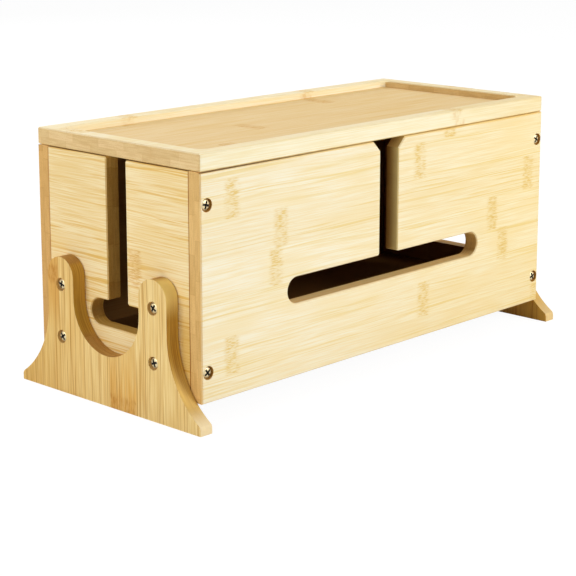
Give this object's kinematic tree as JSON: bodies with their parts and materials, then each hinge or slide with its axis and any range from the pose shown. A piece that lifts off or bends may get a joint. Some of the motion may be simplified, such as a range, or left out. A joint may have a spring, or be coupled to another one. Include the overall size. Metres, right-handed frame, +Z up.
{
  "type": "cable management box",
  "caption": "Slotted rectangular bamboo box on two flared bracket feet with a lift-off tray lid: it hides a power strip and lets its cords out through inverted-T openings.",
  "frame": {"origin": "on the floor under the middle of the box: the centre of the bounding box's bottom face", "axes": "+X along the box's length, the slotted front looks towards -Y, +Z up"},
  "size_m": [0.424, 0.197, 0.1957],
  "materials": {
    "bamboo_long_grain": "satin lacquered bamboo, grain along the box",
    "bamboo_end_panels": "satin lacquered bamboo, grain across the box",
    "bamboo_lid": "satin lacquered bamboo, milled tray",
    "bamboo_feet": "satin lacquered bamboo, upright grain, a shade darker",
    "bamboo_inside": "sanded bamboo",
    "screw_steel": "zinc plated"
  },
  "bodies": {
    "box": {"front_panel": "bamboo_long_grain", "back_panel": "bamboo_long_grain", "left_end_panel": "bamboo_end_panels", "right_end_panel": "bamboo_end_panels", "bottom_panel": "bamboo_inside", "left_foot": "bamboo_feet", "right_foot": "bamboo_feet", "front_screw_1": "screw_steel", "front_screw_2": "screw_steel", "front_screw_3": "screw_steel", "front_screw_4": "screw_steel", "back_screw_1": "screw_steel", "back_screw_2": "screw_steel", "back_screw_3": "screw_steel", "back_screw_4": "screw_steel", "left_foot_screw_1": "screw_steel", "left_foot_screw_2": "screw_steel", "left_foot_screw_3": "screw_steel", "left_foot_screw_4": "screw_steel", "right_foot_screw_1": "screw_steel", "right_foot_screw_2": "screw_steel", "right_foot_screw_3": "screw_steel", "right_foot_screw_4": "screw_steel"},
    "lid": {"lid": "bamboo_lid", "lid_block_1": "bamboo_inside", "lid_block_2": "bamboo_inside", "lid_block_3": "bamboo_inside", "lid_block_4": "bamboo_inside"}
  },
  "joints": [
    {"name": "lid_lift", "type": "slide", "parent": "box", "child": "lid", "axis": [0, 0, 1], "range_m": [0, 0.06]}
  ]
}
